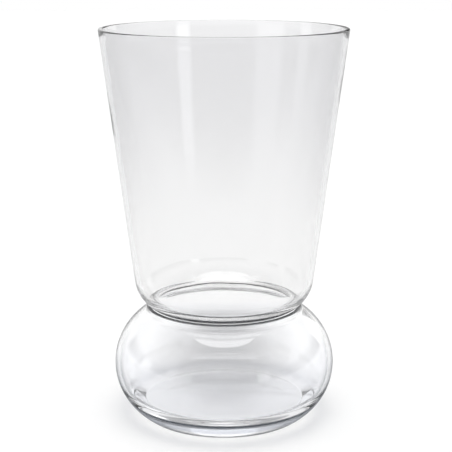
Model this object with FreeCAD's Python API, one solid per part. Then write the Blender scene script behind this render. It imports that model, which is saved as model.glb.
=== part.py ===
import FreeCAD, Part
import math
import os

# Hyacinth forcing vase in clear glass. Two blown pieces stand one on the other: a squat water
# bowl, and a tall tapered cup whose bottom curls in to a round ring that is open for the roots.
# The bowl's shoulder turns up into a short collar. The cup's corner rests on the collar's lip,
# and its ring hangs just inside. The origin is the middle of the bowl's flat base, on the table,
# and +Z is up.

# Water bowl, measured from the table and from the upright axis
bowl_radius = 45.8
belly_height = 21.3
bowl_height = 46.7
belly_wall = 1.8
bowl_floor = 5.0
heel_round = 1.2
inner_heel_round = 12.0

# The collar is the short upright neck above the shoulder, and a hollow round leads into it
collar_wall = 1.6
collar_rise = 1.0
hollow_round = 1.5

# How far the bowl's wall turns in between its belly and the table, in degrees
base_turn = 58.0

# Forcing cup, measured from the underside of its ring. The foot is where the straight wall
# would reach that level if it ran on down.
rim_radius = 50.0
foot_radius = 35.7
cup_height = 114.0
corner_radius = 14.4
inner_corner_radius = 11.0
cup_wall = 1.9
ring_wall = 2.6

# How far the rounded corner curls under before its edge, in degrees below level
curl_turn = 59.0

# Where the corner rests on the collar's lip, in degrees below level. The corner is round there,
# so that the cup finds its own middle.
seat_turn = 55.1
seat_clearance = 0.25

# How far the cup is lifted when it is taken off the bowl
lift_travel = 60.0

# The fire-polished rim is rounded by this share of its wall, on both sides
edge_round_share = 0.42

upright = FreeCAD.Vector(0, 0, 1)
on_axis = FreeCAD.Vector(0, 0, 0)
full_turn = 360.0
quarter_turn = 90.0


def at(radius, height):
    """A point of an outline, in the half plane that is spun about the upright axis."""
    return FreeCAD.Vector(radius, 0, height)


def along(degrees_down):
    """The direction of one unit that points outwards and so many degrees below level."""
    turn = math.radians(degrees_down)
    return FreeCAD.Vector(math.cos(turn), 0, -math.sin(turn))


def line(start, end):
    return Part.LineSegment(start, end).toShape()


def arc(centre, radius, start, end):
    """A round stretch of outline, the short way about its centre, between two points on it."""
    middle = (start + end) * 0.5 - centre
    middle.normalize()
    return Part.Arc(start, centre + middle * radius, end).toShape()


def spun(edges):
    """The solid that a closed outline sweeps in one turn."""
    face = Part.Face(Part.Wire(edges))
    return face.revolve(on_axis, upright, full_turn)


def rounded(shape, radius, height, size):
    """Round off the circular edge that lies closest to a named radius and height."""
    found = []
    for edge in shape.Edges:
        curve = edge.Curve
        if curve.TypeId == "Part::GeomCircle":
            miss = math.hypot(curve.Radius - radius, curve.Center.z - height)
            found.append((miss, edge))
    least = min(miss for miss, edge in found)
    return shape.makeFillet(size, [edge for miss, edge in found if miss - least < seat_clearance])


# The cup's wall leans out by one angle from its corner to the rim
lean = math.degrees(math.atan((rim_radius - foot_radius) / cup_height))

# The ring is a full round, half the ring's wall in radius, just inside the corner's circle
ring_round = ring_wall / 2
ring_turn_radius = corner_radius - ring_round
corner_rise = ring_turn_radius * math.sin(math.radians(curl_turn))
corner_centre_radius = (
    foot_radius
    + (corner_rise + ring_round) * math.tan(math.radians(lean))
    - corner_radius / math.cos(math.radians(lean))
)
ring_radius = corner_centre_radius + ring_turn_radius * math.cos(math.radians(curl_turn))

# The collar's lip is a full round too, and it carries the corner at the seat
lip_round = collar_wall / 2
seat_distance = corner_radius + lip_round + seat_clearance
lip_radius = corner_centre_radius + seat_distance * math.cos(math.radians(seat_turn))
lip_height = bowl_height - lip_round

# The corner rests on the lip, and that sets the height of everything above it
corner_height = lip_height + seat_distance * math.sin(math.radians(seat_turn))
ring_height = corner_height - corner_rise
rim_height = ring_height - ring_round + cup_height

# The hollow round is centred outside the collar, where the collar starts
hollow_centre = at(lip_radius + lip_round + hollow_round, lip_height - collar_rise)


def shoulder_from(belly_radius, round_radius):
    """The shoulder's arc, which leaves the belly upright and meets a round about hollow_centre."""
    inset = belly_radius - hollow_centre.x
    rise = hollow_centre.z - belly_height
    arc_radius = (rise**2 + inset**2 - round_radius**2) / (2 * (inset + round_radius))
    centre = at(belly_radius - arc_radius, belly_height)
    toward = hollow_centre - centre
    toward.normalize()
    return centre, arc_radius, centre + toward * arc_radius


# Below the belly the wall is one arc, down to the table
lower_arc = belly_height / math.sin(math.radians(base_turn))
lower_centre = at(bowl_radius - lower_arc, belly_height)
base_radius = bowl_radius - lower_arc * (1 - math.cos(math.radians(base_turn)))


def water_bowl():
    """Squat reservoir: thick flat base, round belly and a collar with a rounded lip."""
    outer_collar = lip_radius + lip_round
    inner_collar = lip_radius - lip_round
    inner_round = hollow_round + collar_wall
    centre, shoulder_arc, outer_shoulder = shoulder_from(bowl_radius, hollow_round)
    inner_centre, inner_arc, inner_shoulder = shoulder_from(bowl_radius - belly_wall, inner_round)
    outer_start = at(outer_collar, hollow_centre.z)
    inner_start = at(inner_collar, hollow_centre.z)
    outer_lip = at(outer_collar, lip_height)
    lip_top = at(lip_radius, bowl_height)
    inner_lip = at(inner_collar, lip_height)

    base = at(base_radius, 0)
    outer_belly = at(bowl_radius, belly_height)
    inner_belly = at(bowl_radius - belly_wall, belly_height)

    inner_lower_arc = lower_arc - belly_wall
    floor_drop = belly_height - bowl_floor
    floor_edge_radius = lower_centre.x + math.sqrt(inner_lower_arc**2 - floor_drop**2)
    floor_edge = at(floor_edge_radius, bowl_floor)
    floor_middle = at(0, bowl_floor)

    solid = spun([
        line(on_axis, base),
        arc(lower_centre, lower_arc, base, outer_belly),
        arc(centre, shoulder_arc, outer_belly, outer_shoulder),
        arc(hollow_centre, hollow_round, outer_shoulder, outer_start),
        line(outer_start, outer_lip),
        Part.Arc(outer_lip, lip_top, inner_lip).toShape(),
        line(inner_lip, inner_start),
        arc(hollow_centre, inner_round, inner_start, inner_shoulder),
        arc(inner_centre, inner_arc, inner_shoulder, inner_belly),
        arc(lower_centre, inner_lower_arc, inner_belly, floor_edge),
        line(floor_edge, floor_middle),
        line(floor_middle, on_axis),
    ])
    solid = rounded(solid, base_radius, 0, heel_round)
    return rounded(solid, floor_edge_radius, bowl_floor, inner_heel_round)


def forcing_cup():
    """Tapered open cup of even wall that swells to the ring round its opening."""
    centre = at(corner_centre_radius, corner_height)
    ring_centre = at(ring_radius, ring_height)
    outward = along(lean)
    wall_up = along(lean - quarter_turn)

    outer_rim = at(rim_radius, rim_height)
    inner_rim = outer_rim - at(cup_wall / outward.x, 0)
    outer_tangent = centre + outward * corner_radius
    outer_end = centre + along(curl_turn) * corner_radius

    # The corner's inner circle touches the inner wall and, from above, the ring's round
    inset = (inner_rim - ring_centre).dot(outward)
    beside = inset - inner_corner_radius
    above = math.sqrt((inner_corner_radius + ring_round) ** 2 - beside**2)
    inner_centre = ring_centre + outward * beside + wall_up * above
    inner_tangent = inner_centre + outward * inner_corner_radius
    toward_ring = ring_centre - inner_centre
    toward_ring.normalize()
    inner_end = inner_centre + toward_ring * inner_corner_radius
    narrowest = at(ring_radius - ring_round, ring_height)

    solid = spun([
        arc(centre, corner_radius, outer_end, outer_tangent),
        line(outer_tangent, outer_rim),
        line(outer_rim, inner_rim),
        line(inner_rim, inner_tangent),
        arc(inner_centre, inner_corner_radius, inner_tangent, inner_end),
        Part.Arc(inner_end, narrowest, outer_end).toShape(),
    ])
    rim_edge_round = cup_wall * edge_round_share
    solid = rounded(solid, rim_radius, rim_height, rim_edge_round)
    return rounded(solid, inner_rim.x, rim_height, rim_edge_round)


pieces = {
    "water_bowl": water_bowl(),
    "forcing_cup": forcing_cup(),
}

os.makedirs("parts", exist_ok=True)
for name, shape in pieces.items():
    shape.exportStep("parts/" + name + ".step")
    print(name, "solids", len(shape.Solids), "valid", shape.isValid(), "volume mm3", round(shape.Volume))

bowl = pieces["water_bowl"]
cup = pieces["forcing_cup"]
print("height", round(rim_height, 2), "ring at", round(ring_radius, 2), round(ring_height, 2))
print("root opening radius", round(ring_radius - ring_round, 2), "mouth", round(lip_radius - lip_round, 2))
print("corner centre", round(corner_centre_radius, 2), round(corner_height, 2), "lean", round(lean, 2))
print("lip at", round(lip_radius, 2), round(lip_height, 2), "lower arc", round(lower_arc, 2))
print("gap between the pieces", round(bowl.distToShape(cup)[0], 3))
print("overlap at rest mm3", round(bowl.common(cup).Volume, 4))
lifted = cup.translated(upright * lift_travel)
print("lifted gap", round(bowl.distToShape(lifted)[0], 2))
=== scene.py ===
# %% [markdown]
# # A hyacinth forcing vase in clear glass
# The real object is two pieces of blown glass. A squat round bowl holds water. A tall tapered
# cup stands in the bowl's collar and holds a flower bulb, and its bottom is an open ring, so that
# the roots can grow down into the water. This lesson draws the section of each piece, spins it
# into a solid wall of glass, gives it a clear material and lights it like a product picture.

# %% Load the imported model
import math
import bpy
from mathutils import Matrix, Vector


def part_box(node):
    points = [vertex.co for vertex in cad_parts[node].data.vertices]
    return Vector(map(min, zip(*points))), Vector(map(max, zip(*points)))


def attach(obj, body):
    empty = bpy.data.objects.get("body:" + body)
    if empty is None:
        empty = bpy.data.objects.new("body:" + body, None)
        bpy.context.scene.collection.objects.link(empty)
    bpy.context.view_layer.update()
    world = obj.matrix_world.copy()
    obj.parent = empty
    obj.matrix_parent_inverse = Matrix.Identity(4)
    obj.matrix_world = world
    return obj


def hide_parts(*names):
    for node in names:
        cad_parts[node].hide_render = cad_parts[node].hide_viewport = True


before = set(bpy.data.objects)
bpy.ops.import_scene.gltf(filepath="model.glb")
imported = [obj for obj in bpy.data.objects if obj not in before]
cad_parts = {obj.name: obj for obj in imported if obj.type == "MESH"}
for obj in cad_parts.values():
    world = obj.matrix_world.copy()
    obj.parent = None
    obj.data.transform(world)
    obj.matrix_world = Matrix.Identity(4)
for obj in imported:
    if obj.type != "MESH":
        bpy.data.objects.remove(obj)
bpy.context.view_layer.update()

# %% [markdown]
# ## The picture's frame
# The photograph looks slightly down at the vase from less than half a metre away. Perspective
# tells that distance: the rim looks flatter than the base. A long lens far away would make both
# ellipses alike. So the camera is set first, at the height, distance and tilt that make the two
# ellipses right, and everything after it can be judged in its view.

# %% Camera
CAMERA_DISTANCE = 0.4816
CAMERA_HEIGHT = 0.19365
CAMERA_SIDE = 0.0008
LOOKING_DOWN = 13.38
FOCAL_PIXELS = 1200
PICTURE_PIXELS = 452
SENSOR_MM = 36
NEAREST_SEEN = 0.01

bpy.ops.object.select_all(action="DESELECT")
bpy.ops.object.camera_add(
    location=(CAMERA_SIDE, -CAMERA_DISTANCE, CAMERA_HEIGHT),
    rotation=(math.radians(90 - LOOKING_DOWN), 0, 0),
)
camera = bpy.context.object
camera.name = "product_camera"
camera.data.sensor_width = SENSOR_MM
camera.data.lens = SENSOR_MM * FOCAL_PIXELS / PICTURE_PIXELS
camera.data.clip_start = NEAREST_SEEN
bpy.context.scene.camera = camera
print("lens in mm", round(camera.data.lens, 1))

# %% [markdown]
# ## How a glass wall is made here
# Glass shows its thickness. Light bends on its way in and again on its way out, so a vase made
# of one thin skin looks like a soap bubble, and one whose inside is closed looks solid. Each
# piece therefore needs a closed wall with an outer and an inner face.
#
# A glass blower turns the piece on a pipe, so every section through the axis is the same. The
# section is drawn as a line of points in edit mode, one extrude at a time, and spun once around
# the axis. Arcs are drawn with many short steps, because in glass a corner shows at once.

# %% Small drawing helpers
MM = 0.001
SPIN_STEPS = 256
SAME_PLACE = 1e-7


def clear_selection():
    """Edit and object operators act on all that is selected, so start with nothing."""
    if bpy.context.object and bpy.context.object.mode != "OBJECT":
        bpy.ops.object.mode_set(mode="OBJECT")
    bpy.ops.object.select_all(action="DESELECT")


def arc_points(middle, radius, start, end, steps):
    """Points of an arc in the section, with angles in degrees above level, outwards."""
    turns = [math.radians(start + (end - start) * i / steps) for i in range(steps + 1)]
    return [(middle[0] + radius * math.cos(t), middle[1] + radius * math.sin(t)) for t in turns]


def line_points(start, end, steps):
    """The points between two ends of a straight run, without the ends."""
    shares = [i / steps for i in range(1, steps)]
    return [
        (start[0] + (end[0] - start[0]) * s, start[1] + (end[1] - start[1]) * s) for s in shares
    ]


def turn_to(middle, place):
    """The angle in degrees above level at which a place is seen from an arc's middle."""
    return math.degrees(math.atan2(place[1] - middle[1], place[0] - middle[0]))


def spun_glass(name, section, closed):
    """Draws a section in mm, point by point, and spins it into a closed wall."""
    clear_selection()
    first = Vector((section[0][0] * MM, 0, section[0][1] * MM))
    bpy.ops.mesh.primitive_plane_add(size=MM, location=(0, 0, 0))
    piece = bpy.context.object
    piece.name = piece.data.name = name
    bpy.ops.object.mode_set(mode="EDIT")
    bpy.ops.mesh.select_all(action="SELECT")
    bpy.ops.mesh.merge(type="CENTER")
    bpy.ops.transform.translate(value=first)
    run = section[1:] + (section[:1] if closed else [])
    here = section[0]
    for place in run:
        step = ((place[0] - here[0]) * MM, 0, (place[1] - here[1]) * MM)
        bpy.ops.mesh.extrude_region_move(TRANSFORM_OT_translate={"value": step})
        here = place
    bpy.ops.mesh.select_all(action="SELECT")
    bpy.ops.mesh.remove_doubles(threshold=SAME_PLACE)
    bpy.ops.mesh.spin(steps=SPIN_STEPS, angle=math.tau, center=(0, 0, 0), axis=(0, 0, 1))
    bpy.ops.mesh.select_all(action="SELECT")
    bpy.ops.mesh.remove_doubles(threshold=SAME_PLACE * 10)
    bpy.ops.mesh.normals_make_consistent(inside=False)
    bpy.ops.object.mode_set(mode="OBJECT")
    bpy.ops.object.shade_smooth()
    print(name, "section points", len(section), "faces", len(piece.data.polygons))
    return piece


# %% [markdown]
# ## The water bowl
# The bowl is blown squat: a round belly, a shoulder that closes in to a short upturned collar
# with a rounded lip, and a thick flat base that keeps it steady when the cup above is full. Its
# wall keeps nearly one thickness up to the collar. A wall that swells towards the shoulder
# bends light far aside there and gives the bowl heavy dark outlines.
#
# The floor inside is a shallow dish with a large round at its edge, as glass is when it has
# sagged under its own weight. One arc makes the dish and one makes the round, and the round
# touches both the dish and the wall. Its middle is where two circles cross: one around the
# dish's middle and one around the wall's.

# %% The bowl's sizes, in mm from the table and from the axis
bowl_low, bowl_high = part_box("water_bowl")
BOWL_RADIUS = 45.8
BELLY_HEIGHT = 21.3
BELLY_WALL = 1.8
SHOULDER = 26.0
BOWL_FLOOR = 5.0
INNER_HEEL = 11.0
DISH = 350.0
HEEL = 1.2
BASE_TURN = 58.0
COLLAR_RADIUS = 32.4
COLLAR_WALL = 1.6
COLLAR_ROUND = 1.5
LIP_HEIGHT = 45.9
print("bowl height in mm", round((bowl_high[2] - bowl_low[2]) / MM, 2))

# %% How finely the bowl's arcs are drawn
BASE_STEPS = 6
HEEL_STEPS = 8
WALL_STEPS = 34
COLLAR_STEPS = 10
LIP_STEPS = 14
INNER_COLLAR_STEPS = 12
INNER_WALL_STEPS = 10
INNER_HEEL_STEPS = 26
DISH_STEPS = 24


# %% The middle of the round at the floor's edge
def inner_heel_middle(dish_middle, wall_middle, inner_wall_radius):
    """Where a round has its middle if it touches the dish and the wall from inside."""
    to_dish = DISH - INNER_HEEL
    to_wall = inner_wall_radius - INNER_HEEL
    apart = math.dist(dish_middle, wall_middle)
    along = (to_dish ** 2 - to_wall ** 2 + apart ** 2) / (2 * apart)
    aside = math.sqrt(to_dish ** 2 - along ** 2)
    way = [(wall_middle[i] - dish_middle[i]) / apart for i in (0, 1)]
    return (
        dish_middle[0] + way[0] * along - way[1] * aside,
        dish_middle[1] + way[1] * along + way[0] * aside,
    )


# %% The bowl's section
def bowl_section():
    shoulder_middle = (BOWL_RADIUS - SHOULDER, BELLY_HEIGHT)
    lower = BELLY_HEIGHT / math.sin(math.radians(BASE_TURN))
    lower_middle = (BOWL_RADIUS - lower, BELLY_HEIGHT)

    # The hollow round from the shoulder up to the collar touches both
    hollow_radius = COLLAR_RADIUS + COLLAR_ROUND
    hollow_inset = hollow_radius - shoulder_middle[0]
    hollow_rise = math.sqrt((SHOULDER + COLLAR_ROUND) ** 2 - hollow_inset ** 2)
    hollow_middle = (hollow_radius, BELLY_HEIGHT + hollow_rise)
    hollow_turn = turn_to(shoulder_middle, hollow_middle)

    # Inside, the shoulder starts a belly wall further in and ends a collar wall further in
    inner_round = COLLAR_ROUND + COLLAR_WALL
    inset = BOWL_RADIUS - BELLY_WALL - hollow_radius
    inner_shoulder = (hollow_rise ** 2 + inset ** 2 - inner_round ** 2) / (2 * (inset + inner_round))
    inner_middle = (BOWL_RADIUS - BELLY_WALL - inner_shoulder, BELLY_HEIGHT)
    inner_turn = turn_to(inner_middle, hollow_middle)

    # The heel's round leaves the flat base level and meets the lower arc from inside it
    heel_reach = math.sqrt((lower - HEEL) ** 2 - (BELLY_HEIGHT - HEEL) ** 2)
    heel_middle = (lower_middle[0] + heel_reach, HEEL)
    heel_turn = turn_to(lower_middle, heel_middle)

    # The floor's dish, and the round that leads from it into the wall
    inner_lower = lower - BELLY_WALL
    dish_middle = (0, BOWL_FLOOR + DISH)
    heel_inside = inner_heel_middle(dish_middle, lower_middle, inner_lower)
    wall_turn = turn_to(lower_middle, heel_inside)
    dish_turn = turn_to(dish_middle, heel_inside)
    print("inner heel at", [round(v, 2) for v in heel_inside])

    lip_round = COLLAR_WALL / 2
    lip_middle = (COLLAR_RADIUS - lip_round, LIP_HEIGHT)
    print("hollow round at", [round(v, 2) for v in hollow_middle])

    points = [(0, 0)] + line_points((0, 0), (heel_middle[0], 0), BASE_STEPS)
    points += arc_points(heel_middle, HEEL, -90, heel_turn, HEEL_STEPS)
    points += arc_points(lower_middle, lower, heel_turn, 0, WALL_STEPS)[1:]
    points += arc_points(shoulder_middle, SHOULDER, 0, hollow_turn, WALL_STEPS)[1:]
    points += arc_points(hollow_middle, COLLAR_ROUND, hollow_turn + 180, 180, COLLAR_STEPS)[1:]
    points += arc_points(lip_middle, lip_round, 0, 180, LIP_STEPS)
    points += arc_points(hollow_middle, inner_round, 180, inner_turn + 180, INNER_COLLAR_STEPS)
    points += arc_points(inner_middle, inner_shoulder, inner_turn, 0, WALL_STEPS)[1:]
    points += arc_points(lower_middle, inner_lower, 0, wall_turn, INNER_WALL_STEPS)[1:]
    points += arc_points(heel_inside, INNER_HEEL, wall_turn, dish_turn, INNER_HEEL_STEPS)[1:]
    points += arc_points(dish_middle, DISH, dish_turn, -90, DISH_STEPS)[1:]
    return points


bowl = spun_glass("blown_water_bowl", bowl_section(), closed=False)

# %% [markdown]
# ## The forcing cup
# The cup's wall is thin and straight. Near the bottom it turns in through a large round corner
# and ends in a slightly thicker ring, where the glass was opened with a tool. The corner rests
# on the lip of the bowl's collar, the ring hangs just inside it, and the bulb sits in the corner
# above. The rim was melted smooth, so both of its edges are rounded.

# %% The cup's sizes, in mm
cup_low, cup_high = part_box("forcing_cup")
RIM_RADIUS = 50.0
RIM_HEIGHT = cup_high[2] / MM
CUP_WALL = 1.9
RIM_ROUND = 0.5
CORNER = 14.4
CORNER_MIDDLE = (22.76, 58.57)
INNER_CORNER = 11.0
RING_ROUND = 1.3
CURL_TURN = 59.0
RING_MIDDLE = (
    CORNER_MIDDLE[0] + (CORNER - RING_ROUND) * math.cos(math.radians(CURL_TURN)),
    CORNER_MIDDLE[1] - (CORNER - RING_ROUND) * math.sin(math.radians(CURL_TURN)),
)
print("cup height in mm", round((cup_high[2] - cup_low[2]) / MM, 2), "rim at", round(RIM_HEIGHT, 2))
print("ring at", [round(v, 2) for v in RING_MIDDLE])

# %% How finely the cup's arcs are drawn
CORNER_STEPS = 40
CUP_WALL_STEPS = 26
RIM_EDGE_STEPS = 8
RIM_TOP_STEPS = 3
INNER_CORNER_STEPS = 30
RING_STEPS = 20


# %% The cup's section
def cup_section():
    # The straight wall leans so that it leaves the corner's round without a bend
    away = (RIM_RADIUS - CORNER_MIDDLE[0], RIM_HEIGHT - CORNER_MIDDLE[1])
    lean = math.degrees(math.acos(CORNER / math.hypot(*away)) - math.atan2(away[1], away[0]))
    outward = (math.cos(math.radians(lean)), -math.sin(math.radians(lean)))
    upward = (-outward[1], outward[0])
    wall_across = CUP_WALL / outward[0]
    inner_rim = (RIM_RADIUS - wall_across, RIM_HEIGHT)

    def rim_round(radius, side):
        """The middle of a rim edge's round, inwards of a wall's face by the round."""
        inwards = RIM_ROUND * (upward[0] / upward[1] + side / outward[0])
        return (radius - inwards, RIM_HEIGHT - RIM_ROUND)

    outer_round = rim_round(RIM_RADIUS, 1)
    inner_round = rim_round(inner_rim[0], -1)

    # The inner corner touches the inner wall and rolls onto the ring from above
    inset = sum((inner_rim[i] - RING_MIDDLE[i]) * outward[i] for i in (0, 1))
    beside = inset - INNER_CORNER
    above = math.sqrt((INNER_CORNER + RING_ROUND) ** 2 - beside ** 2)
    inner_middle = tuple(RING_MIDDLE[i] + outward[i] * beside + upward[i] * above for i in (0, 1))
    ring_turn = turn_to(inner_middle, RING_MIDDLE)
    ring_end = 360 - CURL_TURN

    points = arc_points(CORNER_MIDDLE, CORNER, -CURL_TURN, -lean, CORNER_STEPS)
    outer_edge = arc_points(outer_round, RIM_ROUND, -lean, 90, RIM_EDGE_STEPS)
    inner_edge = arc_points(inner_round, RIM_ROUND, 90, 180 - lean, RIM_EDGE_STEPS)
    wall_end = tuple(inner_middle[i] + INNER_CORNER * outward[i] for i in (0, 1))
    points += line_points(points[-1], outer_edge[0], CUP_WALL_STEPS) + outer_edge
    points += line_points(outer_edge[-1], inner_edge[0], RIM_TOP_STEPS) + inner_edge
    points += line_points(inner_edge[-1], wall_end, CUP_WALL_STEPS)
    points += arc_points(inner_middle, INNER_CORNER, -lean, ring_turn, INNER_CORNER_STEPS)
    points += arc_points(RING_MIDDLE, RING_ROUND, ring_turn + 180, ring_end, RING_STEPS)[1:-1]
    print("wall leans by", round(lean, 2), "degrees")
    return points


cup = spun_glass("blown_forcing_cup", cup_section(), closed=True)

# %% [markdown]
# ## Hand-blown unevenness
# A machine makes an even wall, but breath and a turning pipe don't. The outside of this vase is
# nearly true, and the inside wanders by about a tenth of a millimetre at most. Such waves act
# as weak lenses, so they show as soft pale streaks and not as bumps. Slow waves run over the whole
# cup, and finer ones low down, where the glass is worked most. A displace modifier with a cloud
# pattern moves only the points of the inner wall, and it is applied, so that the waves are in
# the mesh.

# %% Waves in the cup's inner wall
WAVE_FADE = 6.0
WAVES_START = 62.0
SLOW_WAVES = {"size": 22.0, "depth": 0.16}
SLOW_WAVES_END = RIM_HEIGHT - 3
FINE_WAVES = {"size": 9.0, "depth": 0.09}
FINE_WAVES_END = 96.0


def cup_middle_wall(height):
    """A radius that runs in the middle of the cup's wall."""
    slope = (RIM_RADIUS - CORNER_MIDDLE[0] - CORNER) / (RIM_HEIGHT - CORNER_MIDDLE[1])
    return RIM_RADIUS - CUP_WALL / 2 - (RIM_HEIGHT - height) * slope


def inner_wall(piece, wall_radius, low, high):
    """A vertex group of the points inside the wall, fading out at its two ends."""
    group = piece.vertex_groups.new(name="inner_wall")
    for point in piece.data.vertices:
        radius = math.hypot(point.co.x, point.co.y) / MM
        height = point.co.z / MM
        if radius < wall_radius(height) and low < height < high:
            weight = min((height - low) / WAVE_FADE, (high - height) / WAVE_FADE, 1.0)
            group.add([point.index], weight, "REPLACE")
    return group.name


def wave(piece, group, size, depth):
    """Moves a vertex group in and out along its normals, with waves of one size in mm."""
    pattern = bpy.data.textures.new(piece.name + "_waves", "CLOUDS")
    pattern.noise_scale = size * MM
    pattern.noise_depth = 1
    clear_selection()
    bpy.context.view_layer.objects.active = piece
    piece.select_set(True)
    displace = piece.modifiers.new("waves", "DISPLACE")
    displace.texture = pattern
    displace.texture_coords = "LOCAL"
    displace.vertex_group = group
    displace.strength = depth * MM
    displace.mid_level = 0.5
    bpy.ops.object.modifier_apply(modifier=displace.name)
    print("waves in", piece.name, "of", size, "mm")


wave(cup, inner_wall(cup, cup_middle_wall, WAVES_START, SLOW_WAVES_END), **SLOW_WAVES)
wave(cup, inner_wall(cup, cup_middle_wall, WAVES_START, FINE_WAVES_END), **FINE_WAVES)

# %% [markdown]
# ## Clear glass
# Glass has almost no colour of its own. What is seen is the room, bent and mirrored, so the
# material begins with a smooth surface, full transmission and the index of soda glass. Four
# small effects are laid over that:
#
# * a faint ripple of the skin, as bump
# * a tint that changes with height, faint in the bowl and in the cup a painted shade that deepens upwards
# * a painted shade that grows where the wall turns away from the eye
# * thin bands of painted shade round the waist and the base
#
# The bands are painted. In the photograph these lines probably come from light that is trapped
# in the seat and in the thick base. Plain refraction in this simple studio makes them too pale.
# Ripple, tint and bands are node groups with their own inputs, so that both pieces share them.

# %% Helpers for nodes
def plug(tree, node, label, value):
    """Sets an input, found by its name or number, to a value or links it."""
    socket = node.inputs[int(label)] if label.isdigit() else node.inputs[label]
    if isinstance(value, bpy.types.NodeSocket):
        tree.links.new(value, socket)
    else:
        socket.default_value = value


def add_node(tree, kind, **sockets):
    """A node with values set or links made by the names of its inputs."""
    node = tree.nodes.new(kind)
    for label, value in sockets.items():
        plug(tree, node, label.replace("_", " "), value)
    return node


def maths(tree, operation, first, second=0.0):
    node = tree.nodes.new("ShaderNodeMath")
    node.operation = operation
    plug(tree, node, "0", first)
    plug(tree, node, "1", second)
    return node.outputs[0]


def blend_colours(tree, share, first, second, kind="MIX"):
    node = tree.nodes.new("ShaderNodeMix")
    node.data_type = "RGBA"
    node.blend_type = kind
    plug(tree, node, "Factor", share)
    plug(tree, node, "A", first)
    plug(tree, node, "B", second)
    return node.outputs["Result"]


def fade(tree, value, none, full, curve="SMOOTHSTEP", least=0.0, most=1.0):
    """A share that grows as a value goes from none to full, whichever of them is larger."""
    node = add_node(tree, "ShaderNodeMapRange", Value=value, From_Min=none, From_Max=full)
    node.interpolation_type = curve
    plug(tree, node, "To Min", least)
    plug(tree, node, "To Max", most)
    return node.outputs[0]


def shared_group(name, inputs, output):
    """An empty node group with named inputs and one output, and its two end nodes."""
    group = bpy.data.node_groups.new(name, "ShaderNodeTree")
    for label, kind in inputs:
        group.interface.new_socket(label, in_out="INPUT", socket_type="NodeSocket" + kind)
    group.interface.new_socket(output[0], in_out="OUTPUT", socket_type="NodeSocket" + output[1])
    return group, group.nodes.new("NodeGroupInput").outputs, group.nodes.new("NodeGroupOutput")


def use_group(tree, group, **sockets):
    node = tree.nodes.new("ShaderNodeGroup")
    node.node_tree = group
    for label, value in sockets.items():
        plug(tree, node, label.replace("_", " "), value)
    return node.outputs[0]


# %% The skin's ripple, shared by both pieces
SQUEEZE = (1, 1, 2.2)


def ripple_group():
    inputs = [("Place", "Vector"), ("Waves", "Float")]
    group, given, result = shared_group("blown_skin_ripple", inputs, ("Height", "Float"))
    squeezed = add_node(group, "ShaderNodeMapping", Vector=given["Place"], Scale=SQUEEZE).outputs[0]
    noise = add_node(group, "ShaderNodeTexNoise", Vector=squeezed, Scale=given["Waves"], Detail=1.0)
    plug(group, result, "Height", noise.outputs["Fac"])
    return group


# %% The tint and painted shade that change with height, shared by both pieces
def height_tint_and_shade_group():
    inputs = [("Place", "Vector"), ("Low", "Float"), ("High", "Float")]
    inputs += [("Low Tint", "Color"), ("High Tint", "Color")]
    group, given, result = shared_group("glass_tint_and_painted_shade_by_height", inputs, ("Tint", "Color"))
    height = add_node(group, "ShaderNodeSeparateXYZ", Vector=given["Place"]).outputs["Z"]
    share = fade(group, height, given["Low"], given["High"])
    plug(group, result, "Tint", blend_colours(group, share, given["Low Tint"], given["High Tint"]))
    return group


# %% A band of painted shade round the glass, shared by both pieces
BAND_SOFT_EDGE = 1.6
BAND_FULL_PART = 0.5


def painted_shade_band_group():
    """A thin band of painted shade at one height, only on surfaces that lie outside one radius."""
    inputs = [("Place", "Vector"), ("Radius None", "Float"), ("Radius Full", "Float")]
    inputs += [("Height", "Float"), ("Half Width", "Float")]
    group, given, result = shared_group("painted_shade_round_the_glass", inputs, ("Mask", "Float"))
    axes = add_node(group, "ShaderNodeSeparateXYZ", Vector=given["Place"]).outputs
    across = maths(group, "MULTIPLY", axes["X"], axes["X"])
    along = maths(group, "MULTIPLY", axes["Y"], axes["Y"])
    radius = maths(group, "SQRT", maths(group, "ADD", across, along))
    outside = fade(group, radius, given["Radius None"], given["Radius Full"], curve="LINEAR")
    offset = maths(group, "ABSOLUTE", maths(group, "SUBTRACT", axes["Z"], given["Height"]))
    edge = maths(group, "MULTIPLY", given["Half Width"], BAND_SOFT_EDGE)
    full = maths(group, "MULTIPLY", given["Half Width"], BAND_FULL_PART)
    band = fade(group, offset, edge, full)
    plug(group, result, "Mask", maths(group, "MULTIPLY", outside, band))
    return group


RIPPLE = ripple_group()
TINT_AND_SHADE = height_tint_and_shade_group()
SHADE_BAND = painted_shade_band_group()
print("node groups", [group.name for group in bpy.data.node_groups])

# %% [markdown]
# ## The two glasses
# Both materials have the same tree and differ in sizes and greys. Three kinds of light are told
# apart in it. Light on its way to the table is left untinted, so that the table under the glass
# stays pale. The painted shade of the bands and of the outline's grey counts only where light
# meets the glass from the air. All the rest takes the plain tint. Facing runs from 0, where the
# wall meets the eye squarely, to 1, where it is seen edge on.

# %% Glass values
SODA_GLASS_INDEX = 1.5
RIPPLE_DEPTH = 0.03
WHITE = (1, 1, 1, 1)
# Greys of painted shade for the bands at the waist, the base and under the base
SEAT_PAINTED_SHADE = (0.02, 0.021, 0.023, 1)
BASE_PAINTED_SHADE = (0.01, 0.013, 0.018, 1)
UNDER_BASE_PAINTED_SHADE = (0.55, 0.58, 0.66, 1)
# Greys of painted shade towards the outlines
BOWL_OUTLINE_PAINTED_SHADE = (0.15, 0.17, 0.2, 1)
CUP_OUTLINE_PAINTED_SHADE = (0.74, 0.74, 0.75, 1)
BOUNCED_ONCE = 0.5
# Where the wall faces the eye, as shares of facing, the glass takes a painted shade
FACING_SHADE_NONE = 0.15
FACING_SHADE_FULL = 0.0

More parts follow.
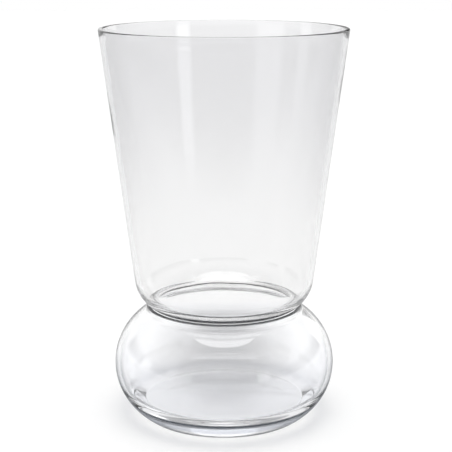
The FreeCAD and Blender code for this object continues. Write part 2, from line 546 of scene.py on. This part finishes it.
# Bands of painted shade as radius none, radius full, height and half width in mm, and the grey they paint
BOWL_SHADE_BANDS = [
    ((31.2, 31.6, 46.6, 0.5), SEAT_PAINTED_SHADE),
    ((40.2, 40.7, 7.4, 1.2), BASE_PAINTED_SHADE),
    ((38.0, 38.5, 4.4, 2.0), UNDER_BASE_PAINTED_SHADE),
]
CUP_SHADE_BANDS = [((30.3, 30.6, 47.7, 1.1), SEAT_PAINTED_SHADE)]


# %% One clear glass
def clear_glass(name, tint_heights, low_tint_and_shade, high_tint_and_shade, facing_painted_shade, bands,
                outline_painted_shade, outline_shade_turn, outline_shade_heights, waves):
    """Heights are in mm, as (none, full); outline_shade_turn is the share of facing, as (none, full)."""
    material = bpy.data.materials.new(name)
    material.use_nodes = True
    tree = material.node_tree
    shader = tree.nodes["Principled BSDF"]
    shader.inputs["Roughness"].default_value = 0.0
    shader.inputs["IOR"].default_value = SODA_GLASS_INDEX
    shader.inputs["Transmission Weight"].default_value = 1.0
    place = tree.nodes.new("ShaderNodeTexCoord").outputs["Object"]
    facing = add_node(tree, "ShaderNodeLayerWeight", Blend=0.5).outputs["Facing"]

    low, high = (height * MM for height in tint_heights)
    tint = use_group(tree, TINT_AND_SHADE, Place=place, Low=low, High=high, Low_Tint=low_tint_and_shade, High_Tint=high_tint_and_shade)
    # Painted shade: grey where the wall faces the eye
    middle = fade(tree, facing, FACING_SHADE_NONE, FACING_SHADE_FULL)
    tint = blend_colours(tree, middle, tint, facing_painted_shade, kind="MULTIPLY")
    path = tree.nodes.new("ShaderNodeLightPath")
    to_table = maths(tree, "GREATER_THAN", path.outputs["Diffuse Depth"], BOUNCED_ONCE)
    body = blend_colours(tree, to_table, tint, WHITE)

    # Bands of painted shade, where light meets the glass from the air
    back = tree.nodes.new("ShaderNodeNewGeometry").outputs["Backfacing"]
    from_air = maths(tree, "SUBTRACT", 1.0, back)
    for sizes, grey in bands:
        none, full, height, half_width = (size * MM for size in sizes)
        band = use_group(
            tree, SHADE_BAND, Place=place, Radius_None=none, Radius_Full=full, Height=height, Half_Width=half_width
        )
        body = blend_colours(tree, maths(tree, "MULTIPLY", band, from_air), body, grey)

    # Painted shade: towards the outline, within a range of heights, the glass turns grey
    height = add_node(tree, "ShaderNodeSeparateXYZ", Vector=place).outputs["Z"]
    side = fade(tree, facing, *outline_shade_turn)
    reach = fade(tree, height, outline_shade_heights[0] * MM, outline_shade_heights[1] * MM)
    side = maths(tree, "MULTIPLY", maths(tree, "MULTIPLY", side, reach), from_air)
    plug(tree, shader, "Base Color", blend_colours(tree, side, body, outline_painted_shade))

    skin = use_group(tree, RIPPLE, Place=place, Waves=waves)
    bump = add_node(tree, "ShaderNodeBump", Strength=1.0, Distance=RIPPLE_DEPTH * MM, Height=skin)
    plug(tree, shader, "Normal", bump.outputs["Normal"])
    print(name, "has", len(bands), "bands")
    return material


# %% The glass of the bowl and of the cup
bowl_glass = clear_glass(
    "bowl_glass",
    tint_heights=(24.0, 38.0),
    low_tint_and_shade=(0.98, 0.985, 1.0, 1),
    high_tint_and_shade=(0.99, 0.99, 0.99, 1),
    # Painted shade: where its wall faces the eye, the bowl is grey
    facing_painted_shade=(0.73, 0.73, 0.735, 1),
    bands=BOWL_SHADE_BANDS,
    outline_painted_shade=BOWL_OUTLINE_PAINTED_SHADE,
    outline_shade_turn=(0.68, 0.9),
    outline_shade_heights=(34.0, 13.0),
    waves=38.0,
)
cup_glass = clear_glass(
    "cup_glass",
    tint_heights=(70.0, 150.0),
    # Painted shade: the cup is grey, darker towards the rim
    low_tint_and_shade=(0.935, 0.935, 0.935, 1),
    high_tint_and_shade=(0.875, 0.875, 0.883, 1),
    facing_painted_shade=WHITE,
    bands=CUP_SHADE_BANDS,
    outline_painted_shade=CUP_OUTLINE_PAINTED_SHADE,
    outline_shade_turn=(0.12, 0.75),
    outline_shade_heights=(60.0, 140.0),
    waves=45.0,
)
bowl.data.materials.append(bowl_glass)
cup.data.materials.append(cup_glass)

# %% [markdown]
# ## The studio
# Clear glass is lit by what surrounds it. A white table and a white surround make the body
# clear, and darker walls give it edges. This studio is white up to thirty-five degrees, goes
# dark above, and has a large soft light overhead.
#
# It is not one real room. The camera itself sees plain white. Light that the glass has mirrored
# meets, in a low band, a dim room with a few upright soft lights, whose mirror images are the
# pale streaks in the cup. Light that reaches the table comes mostly from an even sky, so that
# the shadow stays soft.

# %% Studio values
EVEN_SHARE = 0.75
ROWS = [(-90, 1.0), (35, 1.0), (58, 0.25), (69, 0.15), (70.5, 3.4), (90, 3.4)]
DIM_ROOM = 0.06
BAND_OPENS = (1, 6)
BAND_CLOSES = (12, 20)

# The upright lights as middle, half width and soft edge in degrees, and strength
UPRIGHT_LIGHTS = [(52, 8, 5, 1.6), (115, 20, 8, 1.0), (-48, 3, 6, 2.0), (-138, 10, 8, 1.0), (180, 4, 5, 1.2)]


# %% Brightness by height above the table
def brightness_rows(tree, height):
    level = fade(tree, height, -math.pi / 2, math.pi / 2, curve="LINEAR")
    rows = add_node(tree, "ShaderNodeValToRGB", Fac=level)
    elements = rows.color_ramp.elements
    while len(elements) < len(ROWS):
        elements.new(0.5)
    for element, (degrees, strength) in zip(elements, ROWS):
        element.position = (degrees + 90) / 180
        element.color = (strength, strength, strength, 1)
    return rows.outputs["Color"]


# %% The dim room with upright lights
def mirrored_room(tree, around):
    room = DIM_ROOM
    for middle, half_width, edge, strength in UPRIGHT_LIGHTS:
        beside = maths(tree, "COSINE", maths(tree, "SUBTRACT", around, math.radians(middle)))
        none = math.cos(math.radians(half_width + edge))
        full = math.cos(math.radians(half_width))
        room = maths(tree, "ADD", room, fade(tree, beside, none, full, most=strength))
    return room


# %% The studio as a world
def studio():
    world = bpy.data.worlds.new("studio")
    bpy.context.scene.world = world
    world.use_nodes = True
    tree = world.node_tree
    way = tree.nodes.new("ShaderNodeTexCoord").outputs["Generated"]
    axes = add_node(tree, "ShaderNodeSeparateXYZ", Vector=way).outputs
    height = maths(tree, "ARCSINE", axes["Z"])
    around = maths(tree, "ARCTAN2", axes["Y"], axes["X"])
    rows = brightness_rows(tree, height)

    opens = [math.radians(degrees) for degrees in BAND_OPENS]
    closes = [math.radians(degrees) for degrees in BAND_CLOSES]
    mirrored = maths(tree, "MULTIPLY", rows, mirrored_room(tree, around))
    walls = blend_colours(tree, fade(tree, height, *opens), rows, mirrored)
    walls = blend_colours(tree, fade(tree, height, *closes, curve="LINEAR"), walls, rows)

    path = tree.nodes.new("ShaderNodeLightPath").outputs
    bounced = maths(tree, "GREATER_THAN", path["Glossy Depth"], BOUNCED_ONCE)
    seen = blend_colours(tree, bounced, rows, walls)
    table_light = maths(tree, "GREATER_THAN", path["Diffuse Depth"], BOUNCED_ONCE)
    seen = blend_colours(tree, maths(tree, "MULTIPLY", table_light, EVEN_SHARE), seen, WHITE)
    seen = blend_colours(tree, path["Is Camera Ray"], seen, WHITE)
    plug(tree, tree.nodes["Background"], "Color", seen)
    return world


print("world", studio().name, "with", len(UPRIGHT_LIGHTS), "upright lights")

# %% [markdown]
# ## The table
# The vase stands on a white sweep. It is modelled as a large disc with a matt, almost white
# finish, so that the ground fades into the background and only the contact shadow tells where
# the table is. A very faint glow keeps it as pale as the backdrop.
#
# Where the table is seen mirrored in the outside of the glass, it has a painted shade, strongest
# near the vase. That gives the bowl's lower outline its dark edge and leaves its shoulder pale.

# %% The table
TABLE_RADIUS = 3.0
TABLE_DROP = 0.0001
TABLE_ROUGHNESS = 0.8
TABLE_WHITE = (0.95, 0.95, 0.95, 1)
MIRRORED_TABLE_PAINTED_SHADE = (0.3, 0.31, 0.32, 1)
SHADE_NEAR_ENDS = 0.16
SHADE_NEAR_FULL = 0.08
SHADE_FAR_SHARE = 0.4
GLOW_THROUGH_GLASS = 0.035
GLOW_IN_VIEW = 0.028

clear_selection()
bpy.ops.mesh.primitive_circle_add(
    vertices=96, radius=TABLE_RADIUS, fill_type="NGON", location=(0, 0, 0)
)
table = bpy.context.object
table.name = "white_table"
bpy.ops.object.mode_set(mode="EDIT")
bpy.ops.transform.translate(value=(0, 0, -TABLE_DROP))
bpy.ops.object.mode_set(mode="OBJECT")
print("table radius in m", TABLE_RADIUS)


# %% The table's matt white, with painted shade in its mirror images
def matt_white():
    material = bpy.data.materials.new("matt_white")
    material.use_nodes = True
    tree = material.node_tree
    shader = tree.nodes["Principled BSDF"]
    shader.inputs["Roughness"].default_value = TABLE_ROUGHNESS
    shader.inputs["Specular IOR Level"].default_value = 0.0
    path = tree.nodes.new("ShaderNodeLightPath").outputs

    # Painted shade: the table seen mirrored in the glass is grey, most of all near the vase
    # A ray through smooth glass counts as glossy too, so those rays are taken out
    mirrored = maths(tree, "SUBTRACT", path["Is Glossy Ray"], path["Is Transmission Ray"])
    length = tree.nodes.new("ShaderNodeVectorMath")
    length.operation = "LENGTH"
    plug(tree, length, "0", tree.nodes.new("ShaderNodeTexCoord").outputs["Object"])
    near = fade(tree, length.outputs["Value"], SHADE_NEAR_ENDS, SHADE_NEAR_FULL, least=SHADE_FAR_SHARE)
    mirrored = maths(tree, "MULTIPLY", mirrored, near)
    plug(tree, shader, "Base Color", blend_colours(tree, mirrored, TABLE_WHITE, MIRRORED_TABLE_PAINTED_SHADE))

    through = maths(tree, "MULTIPLY", path["Is Transmission Ray"], GLOW_THROUGH_GLASS)
    in_view = maths(tree, "MULTIPLY", path["Is Camera Ray"], GLOW_IN_VIEW)
    shader.inputs["Emission Color"].default_value = WHITE
    plug(tree, shader, "Emission Strength", maths(tree, "MAXIMUM", through, in_view))
    return material


table.data.materials.append(matt_white())
print("table material", table.data.materials[0].name)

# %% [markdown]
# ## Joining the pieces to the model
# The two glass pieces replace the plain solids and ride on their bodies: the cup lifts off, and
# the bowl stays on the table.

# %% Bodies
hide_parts("water_bowl")
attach(bowl, "water_bowl")
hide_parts("forcing_cup")
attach(cup, "forcing_cup")
print("pieces", bowl.name, cup.name)

# %% [markdown]
# ## How far light is followed
# Light runs along inside a thick glass wall and is mirrored many times before it gets out. If
# the renderer gives up too soon, those places turn black, so the limits are raised. The filter
# that blurs sharp mirror images is switched off, because it darkens the table under the glass.

MOST_BOUNCES = 32
MOST_MIRRORINGS = 24

bpy.context.scene.view_settings.view_transform = "Standard"
cycles = bpy.context.scene.cycles
cycles.blur_glossy = 0.0
cycles.max_bounces = MOST_BOUNCES
cycles.transmission_bounces = MOST_BOUNCES
cycles.glossy_bounces = MOST_MIRRORINGS
